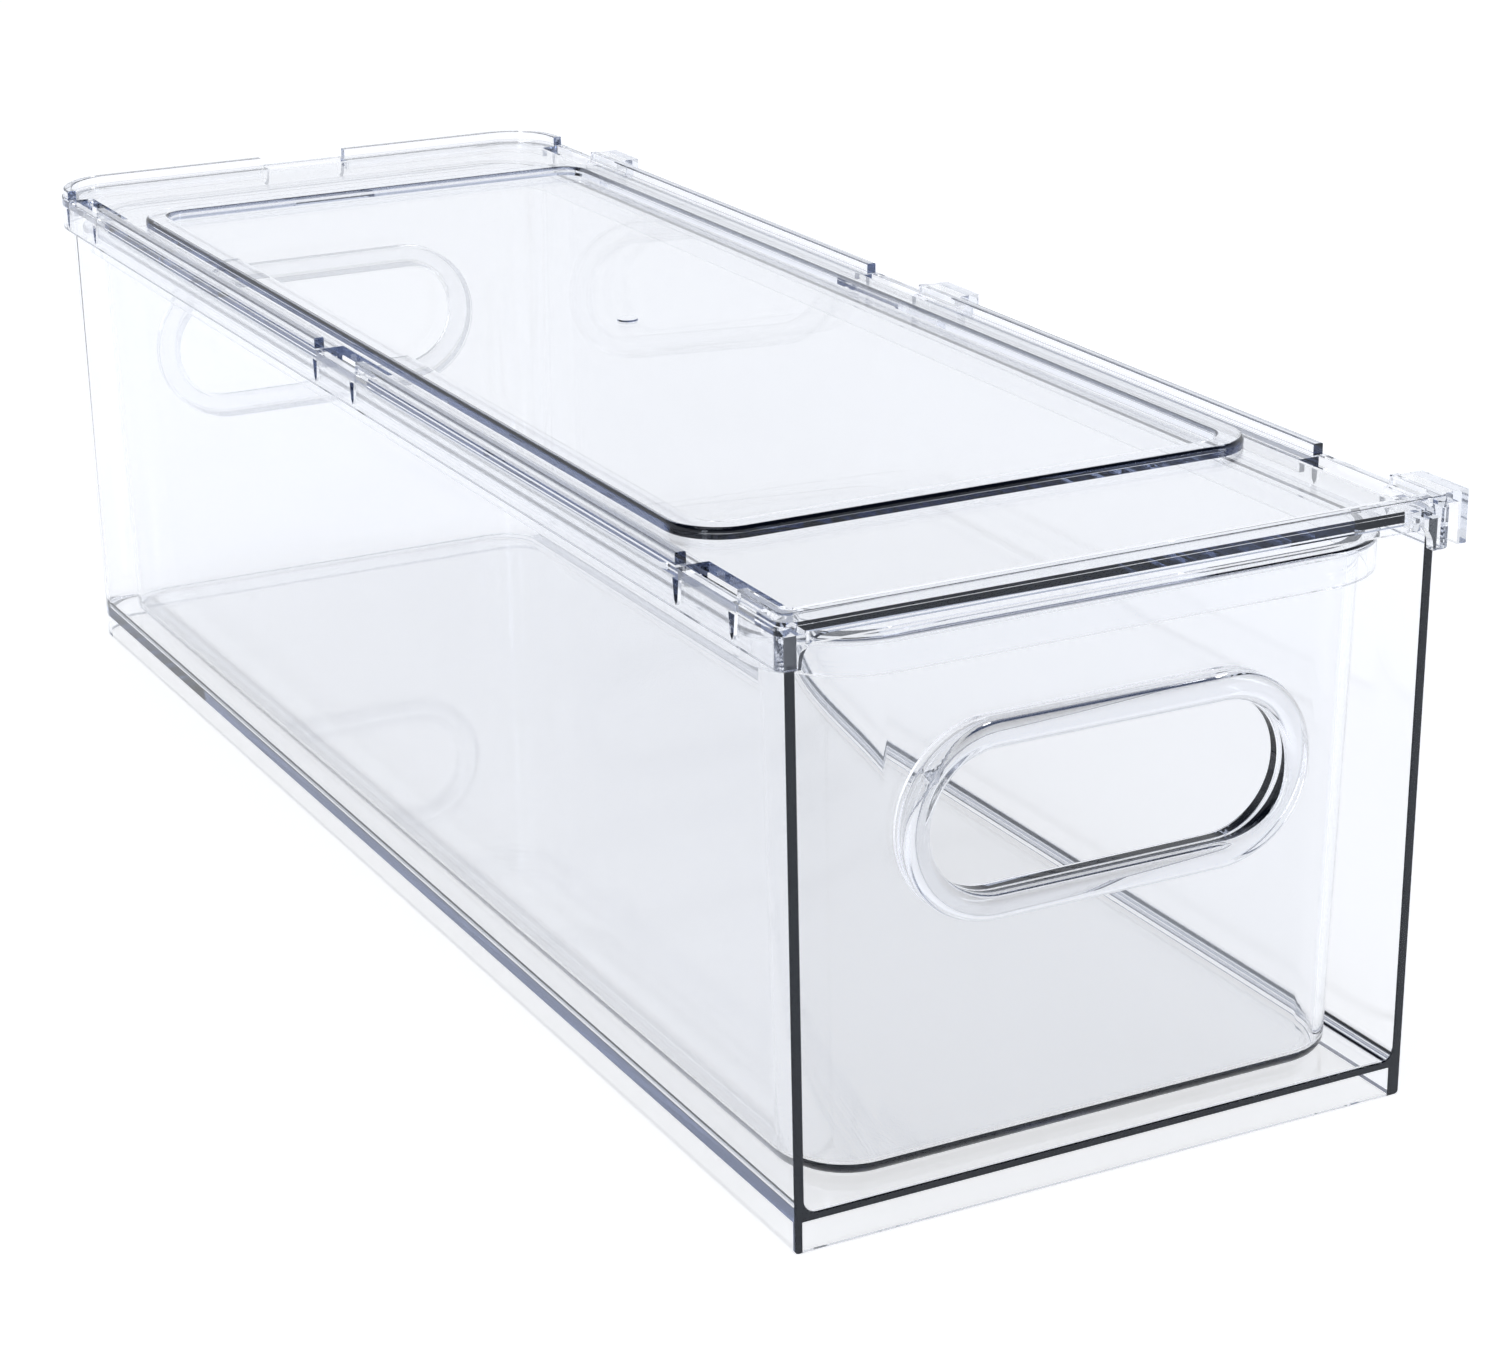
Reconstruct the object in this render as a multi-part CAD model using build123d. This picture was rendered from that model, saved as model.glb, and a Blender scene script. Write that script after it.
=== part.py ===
from build123d import *
import math
import os

# Stackable pull-out fridge bin: an open-fronted outer case, a clip-on lid and a sliding drawer.
# Millimetres. X is the width, Y runs from the front (-Y) to the back, +Z is up. The origin is on the
# surface that the bin stands on, midway along the case's foot. Each of the three pieces is one
# injection moulding, so each is one solid.

# ---------------------------------------------------------------- outer case
case_width = 126.0  # over the foot, where the case is narrowest
case_depth = 377.0  # over the foot
case_corner = 11.5  # plan radius of the two back corners, over the foot
case_wall = 1.9
case_draft = 0.6  # degrees; the walls lean outwards so that the moulding leaves its core
foot_height = 5.3  # the ring that the case stands on, open underneath
floor_thickness = 2.0
floor_fillet = 2.5  # inside, between the floor and the walls
foot_edge = 0.8  # rounding round the outside of the foot
front_edge = 0.3  # rounding of the edges round the open front
case_height = 110.9  # the wall tops

# ---------------------------------------------------------------- lid
seat_gap = 0.1  # from the wall tops to the plate
plate_thickness = 2.0
skirt_gap = 0.25  # between the case's wall top and the skirt round it
skirt_thickness = 1.9
skirt_height = 5.6  # below the plate
lid_overhang = 2.2  # how far the lid's front edge stands ahead of the case
lid_front_corner = 2.0  # plan radius
rail_height = 2.2  # the raised edge that keeps a bin stacked on top from sliding off
rail_width = 2.1
rail_setback = 0.5  # from the plate's edge
front_rail_width = 2.8
front_rail_setback = 0.2
closure_clearance = 0.3  # between the case's front edges and the skirt ends that cover them
closure_arch = 5.0  # radius of the arch under the lid's front corners
rib_height = 2.0  # under the plate, inside the case walls
rib_thickness = 1.5
rib_gap = 0.6  # between the rib and the case's walls
ridge_side_margin = 10.2  # from each side of the lid to the middle of the raised ridge on the plate
ridge_end_margin = 47.5  # from each end of the lid to the middle of the ridge
ridge_corner = 8.0
ridge_width = 5.4
ridge_height = 2.0
ridge_rounding = 0.9
gate_mark_diameter = 4.4
gate_mark_height = 0.4
rail_edge = 0.35  # rounding of the rails' upper edges
skirt_edge = 0.3  # rounding of the skirt's lower edges

# ---------------------------------------------------------------- clips in the lid
clip_length = 22.4  # over both slits
clip_front_margin = 26.2  # from the lid's front edge to the middle of the first clip
clip_back_margin = 27.2  # from the lid's back edge to the middle of the last clip on each side
slit_width = 2.2  # at the top
slit_foot_width = 1.3  # where the point starts
slit_bottom_land = 1.0  # skirt left under each slit
slit_point = 0.9  # height of the slit's pointed end
window_end_margin = 0.8  # from the gap's ends to the window's
window_past_rib = 0.3  # how far the window reaches past the rib under the plate
window_tail = 5.0  # the narrower stretch of the window, ahead of the gap in the rail
window_tail_land = 0.5  # between the rail and that stretch

# ---------------------------------------------------------------- side hooks on the lid
hook_length = 13.0  # along Y
hook_thickness = 2.0
hook_reach = 4.1  # from the skirt to the hook's outside
hook_setback = 0.7  # from the hook to the clip behind it

# ---------------------------------------------------------------- drawer
drawer_side_clearance = 0.9  # from the rim to the case's wall, each side
drawer_back_clearance = 1.5
drawer_setback = 0.3  # from the case's front to the front of the rim
drawer_floor_clearance = 0.3  # from the case's floor to the drawer
drawer_top_clearance = 1.5  # from the rim to the rib under the lid
drawer_draft = 1.4  # degrees
drawer_corner = 15.0  # plan radius of the body, just under the rim
drawer_wall = 1.8
drawer_floor = 2.0
drawer_edge = 3.0  # rounding between the drawer's floor and walls, outside
rim_overhang = 3.0
rim_height = 6.5
rim_lip = 1.5
rim_rounding = 0.7

# ---------------------------------------------------------------- finger slots in the drawer
slot_length = 71.6
slot_height = 26.0
slot_drop = 37.0  # from the top of the rim to the middle of the slot
bead_width = 5.2  # the thick ring round the slot
bead_proud_outside = 3.4
bead_proud_inside = 0.8
bead_rounding = 2.0
bead_inside_rounding = 0.5

# ---------------------------------------------------------------- sizes that follow
spare = 5.0  # how far a cutter runs past what it cuts
case_slope = math.tan(math.radians(case_draft))
drawer_slope = math.tan(math.radians(drawer_draft))
front = -case_depth / 2
back = case_depth / 2
floor_top = foot_height + floor_thickness

case_top_half = case_width / 2 + case_height * case_slope
case_top_back = back + case_height * case_slope
case_top_corner = case_corner + case_height * case_slope

lid_half = case_top_half + skirt_gap + skirt_thickness
lid_front = front - lid_overhang
lid_back = case_top_back + skirt_gap + skirt_thickness
lid_corner = case_top_corner + skirt_gap + skirt_thickness
plate_bottom = case_height + seat_gap
plate_top = plate_bottom + plate_thickness
skirt_bottom = plate_bottom - skirt_height
rail_top = plate_top + rail_height
lid_middle = (lid_front + lid_back) / 2
first_clip = lid_front + clip_front_margin
ridge_half_width = lid_half - ridge_side_margin
ridge_length = lid_back - lid_front - 2 * ridge_end_margin
clip_pitch = (lid_back - clip_back_margin - first_clip) / 2

rail_outer_half = lid_half - rail_setback
rail_inner_half = rail_outer_half - rail_width
rib_outer_half = case_top_half - case_wall - rib_gap
rib_back = case_top_back - case_wall - rib_gap
rib_corner = case_top_corner - case_wall - rib_gap

drawer_bottom = floor_top + drawer_floor_clearance
drawer_top = plate_bottom - rib_height - drawer_top_clearance
slot_centre = drawer_top - slot_drop
rim_bottom = drawer_top - rim_height
rim_half = case_width / 2 + rim_bottom * case_slope - case_wall - drawer_side_clearance
rim_front = front + drawer_setback
rim_back = back + rim_bottom * case_slope - case_wall - drawer_back_clearance
body_half = rim_half - rim_overhang
body_front = rim_front + rim_overhang
body_back = rim_back - rim_overhang


def plan(half_width, y_front, y_back, back_radius, front_radius=0.0):
    """A flat outline with rounded back corners and, if asked, rounded front corners."""
    length = y_back - y_front
    outline = Pos(0, (y_front + y_back) / 2) * Rectangle(2 * half_width, length)
    by_depth = outline.vertices().sort_by(Axis.Y)
    outline = fillet(by_depth[-2:], back_radius)
    if front_radius > 0:
        outline = fillet(outline.vertices().sort_by(Axis.Y)[:2], front_radius)
    return outline


def slab(outline, z_bottom, z_top, draft=0.0):
    """The outline raised between two heights; a positive draft leans its sides outwards."""
    return Pos(0, 0, z_bottom) * extrude(outline, amount=z_top - z_bottom, taper=-draft)


def block(x0, x1, y0, y1, z0, z1):
    """A box given by its limits along each axis."""
    size = Box(x1 - x0, y1 - y0, z1 - z0)
    return Pos((x0 + x1) / 2, (y0 + y1) / 2, (z0 + z1) / 2) * size


def edges_at(shape, z, tolerance=0.01):
    """The edges of a shape that lie wholly at one height."""
    return shape.edges().filter_by_position(Axis.Z, z - tolerance, z + tolerance)


def one_solid(shape, name):
    """The only solid of a shape; a moulding that came apart is a mistake."""
    solids = shape.solids()
    if len(solids) != 1:
        raise ValueError(f"{name} is {len(solids)} solids")
    return solids[0]


# ---------------------------------------------------------------- outer case
def make_case():
    """Left, right and back walls and a raised floor, open at the front and at the top."""
    ahead = front - 20.0
    shell = slab(plan(case_width / 2, ahead, back, case_corner), 0, case_height, case_draft)
    lean = floor_top * case_slope - case_wall
    room_plan = plan(case_width / 2 + lean, ahead - spare, back + lean, case_corner + lean)
    room = slab(room_plan, floor_top, case_height + spare, case_draft)
    recess_plan = plan(
        case_width / 2 - case_wall,
        front + case_wall,
        back - case_wall,
        case_corner - case_wall,
    )
    recess = slab(recess_plan, -spare, foot_height)
    shell = shell - room - recess
    shell = shell - block(-case_width, case_width, ahead - 2 * spare, front, -spare, case_height + spare)
    inside = [e for e in edges_at(shell, floor_top) if e.center().Y > front + case_wall]
    shell = fillet(inside, floor_fillet)
    reach = case_width / 2 - case_wall / 2
    outer_foot = [
        e for e in edges_at(shell, 0)
        if abs(e.center().X) > reach or e.center().Y > back - case_wall / 2
    ]
    shell = fillet(outer_foot, foot_edge)
    open_front = shell.edges().filter_by_position(Axis.Y, front - 0.01, front + 0.01)
    shell = fillet(open_front, front_edge)
    return one_solid(shell, "outer_case")


# ---------------------------------------------------------------- lid
def lid_plan(inset):
    """The lid's outline, drawn in by a distance."""
    front_radius = max(lid_front_corner - inset, 0.3)
    return plan(lid_half - inset, lid_front + inset, lid_back - inset, lid_corner - inset, front_radius)


def ridge_outline(offset):
    """The rounded rectangle that the ridge follows, moved outwards by a distance."""
    width = 2 * (ridge_half_width + offset)
    length = ridge_length + 2 * offset
    return Pos(0, lid_middle) * RectangleRounded(width, length, ridge_corner + offset)


def make_plate():
    """The flat plate with a rounded ridge round its middle, and the gate mark."""
    plate = slab(lid_plan(0), plate_bottom, plate_top)
    loop = ridge_outline(ridge_width / 2) - ridge_outline(-ridge_width / 2)
    ridge = slab(loop, plate_top, plate_top + ridge_height)
    ridge = fillet(edges_at(ridge, plate_top + ridge_height), ridge_rounding)
    mark = Pos(0, lid_middle) * Circle(gate_mark_diameter / 2)
    return plate + ridge + slab(mark, plate_top, plate_top + gate_mark_height)


def make_skirt():
    """The wall round the case's top, with ends that cover the case's front edges under an arch."""
    skirt = slab(lid_plan(0), skirt_bottom, plate_bottom)
    closure_back = front - closure_clearance
    room_plan = plan(
        lid_half - skirt_thickness,
        closure_back,
        lid_back - skirt_thickness,
        lid_corner - skirt_thickness,
    )
    skirt = skirt - slab(room_plan, skirt_bottom - spare, plate_bottom)
    mouth_half = case_top_half - case_wall
    mouth_height = plate_bottom - skirt_bottom + spare
    mouth = Rectangle(2 * mouth_half, mouth_height)
    mouth = fillet(mouth.vertices().sort_by(Axis.Y)[-2:], closure_arch)
    mouth = Plane.XZ * Pos(0, plate_bottom - mouth_height / 2) * mouth
    cutter = Pos(0, closure_back + spare, 0) * extrude(mouth, amount=lid_overhang + 2 * spare)
    skirt = skirt - cutter
    return fillet(edges_at(skirt, skirt_bottom), skirt_edge)


def make_rails():
    """The raised edge on top of the plate, in one loop before the clips interrupt it."""
    outer = plan(
        rail_outer_half,
        lid_front + front_rail_setback,
        lid_back - rail_setback,
        lid_corner - rail_setback,
        lid_front_corner - front_rail_setback,
    )
    inner = plan(
        rail_inner_half,
        lid_front + front_rail_setback + front_rail_width,
        lid_back - rail_setback - rail_width,
        lid_corner - rail_setback - rail_width,
        lid_front_corner,
    )
    rails = slab(outer - inner, plate_top, rail_top)
    return fillet(edges_at(rails, rail_top), rail_edge)


def make_rib():
    """The stiffening rib under the plate, just inside the case's walls."""
    rib_front = lid_front + front_rail_setback + front_rail_width - rib_thickness
    outer = plan(rib_outer_half, rib_front, rib_back, rib_corner, lid_front_corner)
    inner = plan(
        rib_outer_half - rib_thickness,
        rib_front + rib_thickness,
        rib_back - rib_thickness,
        rib_corner - rib_thickness,
        lid_front_corner,
    )
    return slab(outer - inner, plate_bottom - rib_height, plate_bottom)


def slit_cutter():
    """A vertical slit with a pointed lower end, running along +Y through the origin's XZ plane."""
    half = slit_width / 2
    foot_half = slit_foot_width / 2
    low = skirt_bottom + slit_bottom_land
    outline = Polygon(
        (-half, plate_bottom),
        (-foot_half, low + slit_point),
        (0, low),
        (foot_half, low + slit_point),
        (half, plate_bottom),
        align=None,
    )
    return extrude(Plane.XZ * outline, amount=spare, both=True)


def clip_cutters(tail_side):
    """What one clip takes out of the lid, for a clip at the origin whose skirt's outside is at y = 0.

    The lid lies towards -Y. The window opens onto the wall top. Its tail is ahead of the gap in the
    rail, on the side that the sign gives: 1 towards +X, -1 towards -X and 0 for no tail.
    """
    half = clip_length / 2
    gap = block(-half, half, -rail_setback - rail_width - 0.3, spare, plate_top, rail_top + spare)
    rib_inside = skirt_thickness + skirt_gap + case_wall + rib_gap + rib_thickness
    window_inside = -rib_inside - window_past_rib
    low = plate_bottom - rib_height - 0.5
    high = plate_top + 0.5
    end = half - window_end_margin
    window = block(-end, end, window_inside, -skirt_thickness, low, high)
    cutters = gap + window
    if tail_side != 0:
        tail_outside = -rail_setback - rail_width - window_tail_land
        ends = sorted((tail_side * (end - 1.0), tail_side * (half + window_tail)))
        cutters = cutters + block(ends[0], ends[1], window_inside, tail_outside, low, high)
    slit = slit_cutter()
    for side in (-1, 1):
        cutters = cutters + Pos(side * (half - slit_width / 2), 0, 0) * slit
    return cutters


def clip_places():
    """Each clip's place and turn, with the side of it that its window's tail is on."""
    places = [(Pos(0, lid_back, 0), 0)]
    for n in range(3):
        y = first_clip + n * clip_pitch
        places.append((Pos(-lid_half, y, 0) * Rot(0, 0, 90), -1))
        places.append((Pos(lid_half, y, 0) * Rot(0, 0, -90), 1))
    return places


def make_hook(y_back_end):
    """One side hook: an arm out from the rail and a leg down outside the skirt."""
    outside = lid_half + hook_reach
    y_front_end = y_back_end - hook_length
    arm = block(rail_inner_half, outside, y_front_end, y_back_end, rail_top - hook_thickness, rail_top)
    leg = block(outside - hook_thickness, outside, y_front_end, y_back_end, skirt_bottom, rail_top)
    return arm + leg


def make_lid():
    """Plate, skirt, rails and rib in one moulding, cut by seven clips, with three side hooks."""
    lid = make_plate() + make_skirt() + make_rails() + make_rib()
    for place, tail_side in clip_places():
        lid = lid - place * clip_cutters(tail_side)
    for n in range(3):
        clip_front_end = first_clip + n * clip_pitch - clip_length / 2
        lid = lid + make_hook(clip_front_end - hook_setback)
    return one_solid(lid, "lid")


# ---------------------------------------------------------------- drawer
def drawer_plan(inset, z):
    """The body's outline at a height, drawn in by a distance."""
    lean = (drawer_top - z) * drawer_slope + inset
    radius = drawer_corner - lean
    return plan(body_half - lean, body_front + lean, body_back - lean, radius, radius)


def make_body():
    """The tub: drafted walls all round and a floor, rounded where they meet."""
    body = slab(drawer_plan(0, drawer_bottom), drawer_bottom, drawer_top, drawer_draft)
    body = fillet(edges_at(body, drawer_bottom), drawer_edge)
    inside_floor = drawer_bottom + drawer_floor
    room = slab(drawer_plan(drawer_wall, inside_floor), inside_floor, drawer_top, drawer_draft)
    room = fillet(edges_at(room, inside_floor), drawer_edge - drawer_wall)
    return body, room


def make_rim():
    """The rim: a flange round the tub's top, turned down into a lip."""
    radius = drawer_corner + rim_overhang
    outer = slab(plan(rim_half, rim_front, rim_back, radius, radius), rim_bottom, drawer_top)
    outer = fillet(edges_at(outer, drawer_top), rim_rounding)
    lip_half = rim_half - rim_lip
    lip_radius = radius - rim_lip
    channel_plan = plan(lip_half, rim_front + rim_lip, rim_back - rim_lip, lip_radius, lip_radius)
    channel = slab(channel_plan, rim_bottom - spare, drawer_top - rim_lip)
    return outer - channel


def wall_face(z, outside):
    """How far the front wall's face is behind the body's front, at a height."""
    lean = (drawer_top - z) * drawer_slope
    return body_front + lean + (0 if outside else drawer_wall)


def make_bead():
    """The thick rounded ring round the front finger slot, before the slot is cut through it."""
    length = slot_length + 2 * bead_width
    height = slot_height + 2 * bead_width
    y_out = wall_face(slot_centre, True) - bead_proud_outside
    y_in = wall_face(slot_centre, False) + bead_proud_inside
    ring = SlotOverall(length, height) - SlotOverall(slot_length, slot_height)
    ring = Plane.XZ * Pos(0, slot_centre) * ring
    bead = Pos(0, y_in, 0) * extrude(ring, amount=y_in - y_out)
    outside = bead.edges().filter_by_position(Axis.Y, y_out - 0.01, y_out + 0.01)
    bead = fillet(outside, bead_rounding)
    inside = bead.edges().filter_by_position(Axis.Y, y_in - 0.01, y_in + 0.01)
    return fillet(inside, bead_inside_rounding)


def make_slot():
    """The cutter for the front finger slot, out to the middle of its bead."""
    outline = SlotOverall(slot_length + bead_width, slot_height + bead_width)
    outline = Plane.XZ * Pos(0, slot_centre) * outline
    return Pos(0, body_front + 20.0, 0) * extrude(outline, amount=40.0)


def make_drawer():
    """The tub with its rim and a finger slot in its front and back walls."""
    body, room = make_body()
    drawer = (body + make_rim()) - room
    middle = (body_front + body_back) / 2
    mirror_plane = Plane.XZ.offset(-middle)
    slot = make_slot()
    bead = make_bead()
    for cutter, ring in ((slot, bead), (mirror(slot, mirror_plane), mirror(bead, mirror_plane))):
        drawer = (drawer - cutter) + ring
    return one_solid(drawer, "drawer")


# ---------------------------------------------------------------- files
os.makedirs("parts", exist_ok=True)
export_step(make_case(), "parts/outer_case.step")
export_step(make_lid(), "parts/lid.step")
export_step(make_drawer(), "parts/drawer.step")
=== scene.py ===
import math

import bmesh
import bpy
from mathutils import Matrix, Vector


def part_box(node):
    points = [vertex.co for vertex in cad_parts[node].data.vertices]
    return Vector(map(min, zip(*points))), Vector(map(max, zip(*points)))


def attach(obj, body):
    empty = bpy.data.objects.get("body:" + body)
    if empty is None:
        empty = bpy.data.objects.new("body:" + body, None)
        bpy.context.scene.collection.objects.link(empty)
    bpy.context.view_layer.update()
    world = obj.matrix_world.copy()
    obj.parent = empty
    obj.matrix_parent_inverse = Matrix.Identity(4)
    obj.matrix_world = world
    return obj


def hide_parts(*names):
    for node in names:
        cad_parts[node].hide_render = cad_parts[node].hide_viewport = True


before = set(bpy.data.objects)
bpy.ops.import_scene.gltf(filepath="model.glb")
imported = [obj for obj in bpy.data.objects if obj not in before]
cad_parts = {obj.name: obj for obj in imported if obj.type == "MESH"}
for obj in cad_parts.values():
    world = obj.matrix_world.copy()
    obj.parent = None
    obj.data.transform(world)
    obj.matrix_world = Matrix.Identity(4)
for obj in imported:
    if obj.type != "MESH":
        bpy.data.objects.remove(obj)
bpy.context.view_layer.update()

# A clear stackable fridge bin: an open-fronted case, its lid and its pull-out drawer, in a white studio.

MM = 0.001

CAMERA_PLACE = (-315.6, -660.9, 296.6)  # mm
CAMERA_LENS = 86.0  # mm, on a sensor 36 mm wide
CAMERA_TURN = 27.44  # degrees to the right of straight back
CAMERA_TILT = 19.93  # degrees down
CAMERA_ROLL = -0.71  # degrees

FLOOR_RADIUS = 6.0  # m
FLOOR_DROP = 0.0002  # m, below the foot so that the two don't share a plane
# The floor glows though it is no lamp: painted light, brightest in a painted strip along the camera's view.
STRIP_TURN = 27.4  # degrees, so that the floor's painted strip of light runs along the camera's view
STRIP_OFFSET = 0.04  # m, from the bin's middle leftwards to the middle of the floor's painted strip of light
STRIP_HALF = 0.35  # m, half the width of the strip at full brightness
STRIP_FADE_END = 1.20  # m, where the fade beside the strip ends, from its middle
PAINTED_STRIP_GLOW = 0.69  # emission strength of the painted light in the strip
PAINTED_FLOOR_GLOW = 0.32  # emission strength of the painted glow past the fade
WHITE_UP_TO = 0.42  # the world's colours by the height of the direction: 0 level, 1 straight up
SLATE_FROM = 0.70

PLASTIC_IOR = 1.59
TINT_DENSITY = 14.0  # how much the plastic's depth absorbs, per metre


# ---------------------------------------------------------------- colours and nodes
def colour(code):
    """An sRGB hex code as the linear colour that a shader takes."""
    channels = [int(code[n:n + 2], 16) / 255 for n in (1, 3, 5)]
    linear = [c / 12.92 if c <= 0.04045 else ((c + 0.055) / 1.055) ** 2.4 for c in channels]
    return (*linear, 1.0)


def add_node(tree, kind, settings=None, links=None):
    """A new node, with its properties and sockets set and its sockets linked to (node, output)."""
    node = tree.nodes.new(kind)
    for name, value in (settings or {}).items():
        if hasattr(node, name):
            setattr(node, name, value)
        else:
            node.inputs[name].default_value = value
    for socket, (source, output) in (links or {}).items():
        tree.links.new(source.outputs[output], node.inputs[socket])
    return node


# ---------------------------------------------------------------- camera
def make_camera():
    """A three-quarter view from the front left and above."""
    data = bpy.data.cameras.new("camera")
    data.sensor_fit = "HORIZONTAL"
    data.sensor_width = 36.0
    data.lens = CAMERA_LENS
    data.clip_start = 0.01
    data.clip_end = 50.0
    camera = bpy.data.objects.new("camera", data)
    bpy.context.scene.collection.objects.link(camera)
    turn = math.radians(CAMERA_TURN)
    tilt = math.radians(CAMERA_TILT)
    ahead = Vector((math.sin(turn) * math.cos(tilt), math.cos(turn) * math.cos(tilt), -math.sin(tilt)))
    look = ahead.to_track_quat("-Z", "Y").to_matrix().to_4x4()
    place = Matrix.Translation(Vector(CAMERA_PLACE) * MM)
    camera.matrix_world = place @ look @ Matrix.Rotation(math.radians(CAMERA_ROLL), 4, "Z")
    bpy.context.scene.camera = camera


# ---------------------------------------------------------------- studio
def make_floor():
    """A pale floor of matt studio paper with painted light: it glows, though it is no lamp.

    The painted glow is stronger in a strip that runs along the camera's view, and fades on both sides of
    it.
    """
    sides = 96
    ring = []
    for n in range(sides):
        angle = 2 * math.pi * n / sides
        ring.append((FLOOR_RADIUS * math.cos(angle), FLOOR_RADIUS * math.sin(angle), -FLOOR_DROP))
    mesh = bpy.data.meshes.new("floor")
    mesh.from_pydata(ring, [], [list(range(sides))])
    floor = bpy.data.objects.new("floor", mesh)
    bpy.context.scene.collection.objects.link(floor)
    paper = bpy.data.materials.new("white studio paper with painted glow")
    paper.use_nodes = True
    tree = paper.node_tree
    tree.nodes.clear()
    where = add_node(tree, "ShaderNodeTexCoord")
    turned = add_node(tree, "ShaderNodeMapping", {
        "Location": (STRIP_OFFSET, 0.0, 0.0),
        "Rotation": (0.0, 0.0, math.radians(STRIP_TURN)),
    }, {"Vector": (where, "Object")})
    across = add_node(tree, "ShaderNodeSeparateXYZ", links={"Vector": (turned, "Vector")})
    aside = add_node(tree, "ShaderNodeMath", {"operation": "ABSOLUTE"}, {0: (across, "X")})
    # Painted light: the floor's glow is brightest in the strip and fades to the sides.
    strip = add_node(tree, "ShaderNodeMapRange", {
        "interpolation_type": "SMOOTHSTEP",
        "From Min": STRIP_HALF,
        "From Max": STRIP_FADE_END,
        "To Min": PAINTED_STRIP_GLOW,
        "To Max": PAINTED_FLOOR_GLOW,
    }, {"Value": (aside, "Value")})
    sheet = add_node(tree, "ShaderNodeBsdfPrincipled", {
        "Base Color": colour("#eceef0"),
        "Roughness": 0.9,
        "Specular IOR Level": 0.1,
        "Emission Color": colour("#ffffff"),
    }, {"Emission Strength": (strip, "Result")})
    add_node(tree, "ShaderNodeOutputMaterial", links={"Surface": (sheet, "BSDF")})
    mesh.materials.append(paper)


def area_lamp(name, place, aim, size, watts):
    """A soft lamp at a place, aimed at a point, with its width and height, all in metres."""
    data = bpy.data.lights.new(name, "AREA")
    data.shape = "RECTANGLE"
    data.size, data.size_y = size
    data.energy = watts
    lamp = bpy.data.objects.new(name, data)
    bpy.context.scene.collection.objects.link(lamp)
    lamp.location = place
    lamp.rotation_euler = (Vector(aim) - Vector(place)).to_track_quat("-Z", "Y").to_euler()


def make_studio():
    """A world that is white all round and slate overhead, with one soft lamp above and two in front."""
    world = bpy.data.worlds.new("studio")
    world.use_nodes = True
    tree = world.node_tree
    tree.nodes.clear()
    where = add_node(tree, "ShaderNodeTexCoord")
    split = add_node(tree, "ShaderNodeSeparateXYZ", links={"Vector": (where, "Generated")})
    ramp = add_node(tree, "ShaderNodeValToRGB", links={"Fac": (split, "Z")})
    ramp.color_ramp.elements[0].position = WHITE_UP_TO
    ramp.color_ramp.elements[0].color = colour("#f1f3f6")
    ramp.color_ramp.elements[1].position = SLATE_FROM
    ramp.color_ramp.elements[1].color = colour("#35415e")
    light = add_node(tree, "ShaderNodeBackground", links={"Color": (ramp, "Color")})
    add_node(tree, "ShaderNodeOutputWorld", links={"Surface": (light, "Background")})
    bpy.context.scene.world = world
    area_lamp("overhead", (-0.2, 0.2, 2.0), (0, 0, 0), (1.4, 1.0), 5)
    area_lamp("left strip", (-1.5, -1.1, 0.8), (0, -0.1, 0.06), (0.35, 1.5), 6)
    area_lamp("right strip", (1.3, -1.3, 0.7), (0, -0.1, 0.06), (0.3, 1.3), 5)


# ---------------------------------------------------------------- clear plastic
def clear_polystyrene():
    """Clear polystyrene from a polished mould: perfectly smooth, with no grain or texture.

    Its depth absorbs a little light, more of the red than of the blue.
    """
    material = bpy.data.materials.new("clear polystyrene from a polished mould")
    material.use_nodes = True
    tree = material.node_tree
    tree.nodes.clear()
    shell = add_node(tree, "ShaderNodeBsdfPrincipled", {
        "Base Color": colour("#fefefe"),
        "Roughness": 0.0,
        "IOR": PLASTIC_IOR,
        "Specular Tint": colour("#dae1ee"),
        "Transmission Weight": 1.0,
    })
    depth = add_node(tree, "ShaderNodeVolumeAbsorption", {
        "Color": colour("#5a7cb0"),
        "Density": TINT_DENSITY,
    })
    add_node(tree, "ShaderNodeOutputMaterial", links={
        "Surface": (shell, "BSDF"),
        "Volume": (depth, "Volume"),
    })
    return material


# ---------------------------------------------------------------- drawer
# Millimetres.
CORNER_STEPS = 20  # per quarter turn
BEAD_STEPS = 6  # per quarter turn of the bead's cross-section
RIM_CORNER = 18.0  # plan radius of the rim
RIM_OVERHANG = 3.0
RIM_HEIGHT = 6.5
RIM_LIP = 1.5
RIM_ROUNDING = 0.7
DRAWER_WALL = 1.8
DRAWER_FLOOR = 2.0
DRAWER_EDGE = 3.0  # rounding between the floor and the walls, outside
WALL_LOOPS = (30.0, 60.0, 90.0)  # heights of the loops that divide the tall walls
DRAWER_SLOPE = math.tan(math.radians(1.4))
SLOT_LENGTH = 71.6
SLOT_HEIGHT = 26.0
SLOT_DROP = 37.0  # from the top of the rim to the middle of the slot
BEAD_WIDTH = 5.2  # the thick ring round the slot
BEAD_PROUD_OUTSIDE = 3.4
BEAD_PROUD_INSIDE = 0.8
BEAD_ROUNDING = 2.0
BEAD_INSIDE_ROUNDING = 0.5
CUT_SPARE = 20.0  # how far the slot's cutter runs past the bead
SHARP_EDGE = 32.0  # degrees; edges that turn more than this stay crisp


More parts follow.
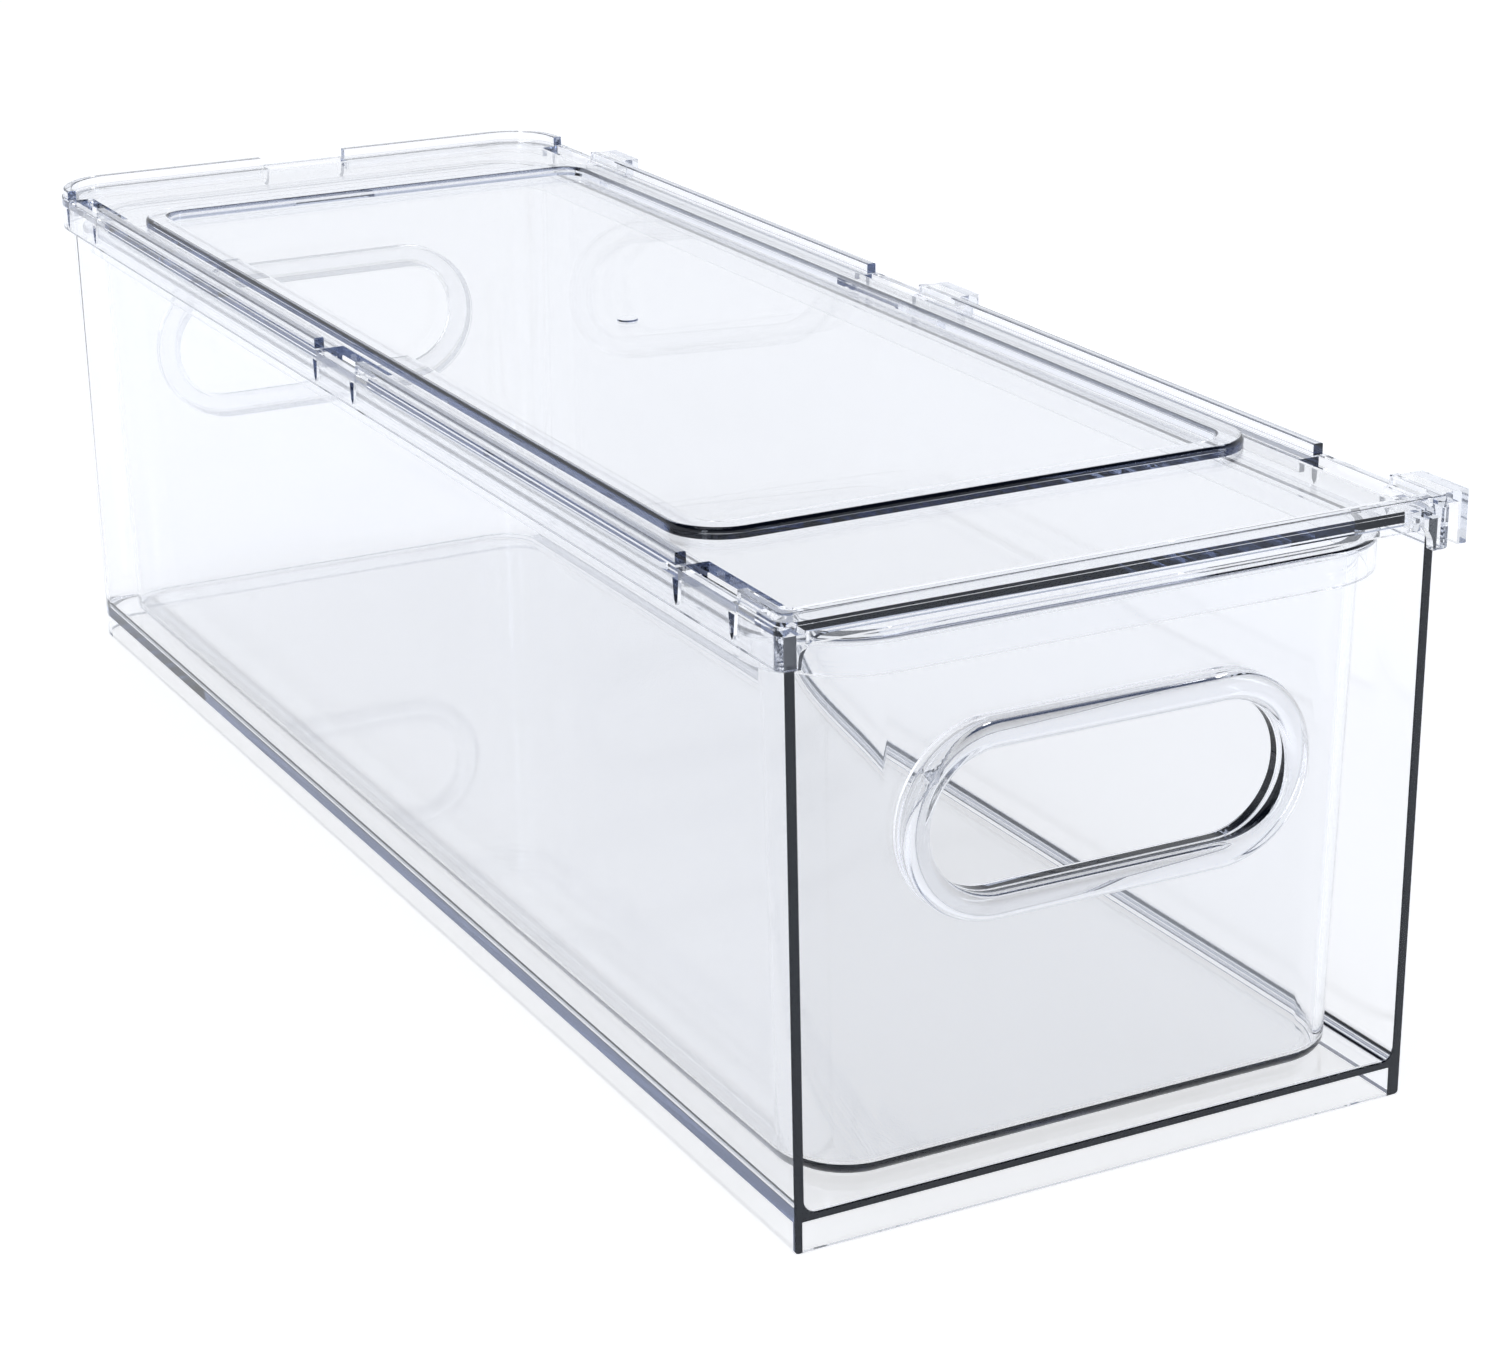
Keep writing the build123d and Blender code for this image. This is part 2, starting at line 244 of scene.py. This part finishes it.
def rounded_ring(half_width, y_front, y_back, radius):
    """Points round a rectangle with rounded corners, anticlockwise from above."""
    points = []
    centres = (
        (half_width - radius, y_back - radius, 0.0),
        (radius - half_width, y_back - radius, 0.5 * math.pi),
        (radius - half_width, y_front + radius, math.pi),
        (half_width - radius, y_front + radius, 1.5 * math.pi),
    )
    for x, y, start in centres:
        for step in range(CORNER_STEPS + 1):
            angle = start + 0.5 * math.pi * step / CORNER_STEPS
            points.append((x + radius * math.cos(angle), y + radius * math.sin(angle)))
    return points


def skin(rings, closed):
    """Points and faces of a skin over rings of equal length, closed in a loop or capped at both ends."""
    size = len(rings[0])
    points = [point for ring in rings for point in ring]
    faces = []
    count = len(rings)
    for n in range(count if closed else count - 1):
        a = n * size
        b = (n + 1) % count * size
        for k in range(size):
            j = (k + 1) % size
            faces.append((a + k, a + j, b + j, b + k))
    if not closed:
        faces.append(tuple(reversed(range(size))))
        faces.append(tuple(range((count - 1) * size, count * size)))
    return points, faces


def solid(name, points, faces):
    """An object from points in millimetres, with its faces turned outwards."""
    mesh = bpy.data.meshes.new(name)
    mesh.from_pydata([Vector(point) * MM for point in points], [], faces)
    work = bmesh.new()
    work.from_mesh(mesh)
    bmesh.ops.recalc_face_normals(work, faces=work.faces)
    work.to_mesh(mesh)
    work.free()
    piece = bpy.data.objects.new(name, mesh)
    bpy.context.scene.collection.objects.link(piece)
    return piece


def apply_modifiers(piece):
    """The object with its modifiers worked into its mesh."""
    graph = bpy.context.evaluated_depsgraph_get()
    worked = piece.evaluated_get(graph)
    mesh = bpy.data.meshes.new_from_object(worked, preserve_all_data_layers=True, depsgraph=graph)
    piece.modifiers.clear()
    piece.data = mesh


def combine(piece, other, operation):
    """A boolean of one object with another, which is used up."""
    step = piece.modifiers.new("boolean", "BOOLEAN")
    step.solver = "EXACT"
    step.operation = operation
    step.object = other
    apply_modifiers(piece)
    bpy.data.objects.remove(other)


def polish(piece):
    """Smooth shading that stays flat on flat faces, with crisp edges where the moulding has them."""
    piece.data.shade_smooth()
    piece.data.set_sharp_from_angle(angle=math.radians(SHARP_EDGE))
    weigh = piece.modifiers.new("normals", "WEIGHTED_NORMAL")
    weigh.mode = "FACE_AREA"
    weigh.weight = 100
    weigh.keep_sharp = True
    apply_modifiers(piece)


def arc(centre_in, centre_z, radius, start, end, steps=8):
    """Profile points on an arc: how far in from the rim, and the height."""
    points = []
    for step in range(steps + 1):
        angle = math.radians(start + (end - start) * step / steps)
        points.append((centre_in - radius * math.cos(angle), centre_z + radius * math.sin(angle)))
    return points


def slot_ring(length, height, y, centre_z):
    """Points round a slot with round ends, standing in the plane at one y."""
    radius = height / 2
    reach = length / 2 - radius
    points = []
    for side, start in ((1, -90.0), (-1, 90.0)):
        for step in range(2 * CORNER_STEPS + 1):
            angle = math.radians(start + 90.0 * step / CORNER_STEPS)
            points.append((side * reach + radius * math.cos(angle), y, centre_z + radius * math.sin(angle)))
    return points


def bead_section(y_out, y_in):
    """The bead's cross-section: how far out from the slot's edge, and the y, for the front bead."""
    round_out, round_in = BEAD_ROUNDING, BEAD_INSIDE_ROUNDING
    corners = (
        (round_out, y_out + round_out, round_out, 180),
        (BEAD_WIDTH - round_out, y_out + round_out, round_out, 270),
        (BEAD_WIDTH - round_in, y_in - round_in, round_in, 0),
        (round_in, y_in - round_in, round_in, 90),
    )
    section = []
    for out, y, radius, start in corners:
        for step in range(BEAD_STEPS + 1):
            angle = math.radians(start + 90.0 * step / BEAD_STEPS)
            section.append((out + radius * math.cos(angle), y + radius * math.sin(angle)))
    return section


def drawer_box():
    """Half the rim's width, its front and back, and the drawer's bottom and top, in millimetres."""
    low, high = (Vector(corner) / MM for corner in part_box("drawer"))
    return high.x, low.y, high.y, low.z, high.z


def outside(z, top):
    """How far in from the rim the tub's outer face is, at a height."""
    return RIM_OVERHANG + (top - z) * DRAWER_SLOPE


def inside(z, top):
    """How far in from the rim the tub's inner face is, at a height."""
    return outside(z, top) + DRAWER_WALL


def make_tub(box):
    """The tub, from its floor out, up, round the turned-down rim and down again inside."""
    rim_half, rim_front, rim_back, bottom, top = box
    round_out = DRAWER_EDGE
    round_in = DRAWER_EDGE - DRAWER_WALL
    low_out = bottom + round_out
    low_in = bottom + DRAWER_FLOOR + round_in
    profile = arc(outside(low_out, top) + round_out, low_out, round_out, -90, 0)
    profile += [(outside(z, top), z) for z in (*WALL_LOOPS, top - RIM_LIP)]
    profile += [(RIM_LIP, top - RIM_LIP), (RIM_LIP, top - RIM_HEIGHT), (0.0, top - RIM_HEIGHT)]
    profile += arc(RIM_ROUNDING, top - RIM_ROUNDING, RIM_ROUNDING, 0, 90, 5)
    profile += [(inside(z, top), z) for z in (top, *reversed(WALL_LOOPS))]
    profile += arc(inside(low_in, top) + round_in, low_in, round_in, 0, -90)
    rings = []
    for inset, z in profile:
        ring = rounded_ring(rim_half - inset, rim_front + inset, rim_back - inset, RIM_CORNER - inset)
        rings.append([(x, y, z) for x, y in ring])
    return solid("drawer_moulding", *skin(rings, False))


def make_drawer():
    """The drawer with finer curves: the tub with a thick-ringed finger slot at each end."""
    box = drawer_box()
    tub = make_tub(box)
    rim_front, rim_back, top = box[1], box[2], box[4]
    slot_z = top - SLOT_DROP
    front_face = rim_front + outside(slot_z, top)
    y_out = front_face - BEAD_PROUD_OUTSIDE
    y_in = front_face + DRAWER_WALL + BEAD_PROUD_INSIDE
    section = bead_section(y_out, y_in)
    middle = (rim_front + rim_back) / 2
    for end in (1, -1):
        rings = []
        for y in (y_out - CUT_SPARE, y_in + CUT_SPARE):
            there = middle + end * (y - middle)
            rings.append(slot_ring(SLOT_LENGTH + BEAD_WIDTH, SLOT_HEIGHT + BEAD_WIDTH, there, slot_z))
        combine(tub, solid("slot", *skin(rings, False)), "DIFFERENCE")
        rings = []
        for out, y in section:
            there = middle + end * (y - middle)
            rings.append(slot_ring(SLOT_LENGTH + 2 * out, SLOT_HEIGHT + 2 * out, there, slot_z))
        combine(tub, solid("bead", *skin(rings, True)), "UNION")
    polish(tub)
    return tub


# ---------------------------------------------------------------- the scene
make_camera()
make_studio()
make_floor()
drawer = make_drawer()
plastic = clear_polystyrene()
for piece in (*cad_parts.values(), drawer):
    piece.data.materials.clear()
    piece.data.materials.append(plastic)
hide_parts("drawer")
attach(drawer, "drawer")

scene = bpy.context.scene
scene.view_settings.view_transform = "Standard"
# These let light bounce many times inside the walls.
scene.cycles.max_bounces = 40
scene.cycles.glossy_bounces = 32
scene.cycles.transmission_bounces = 32
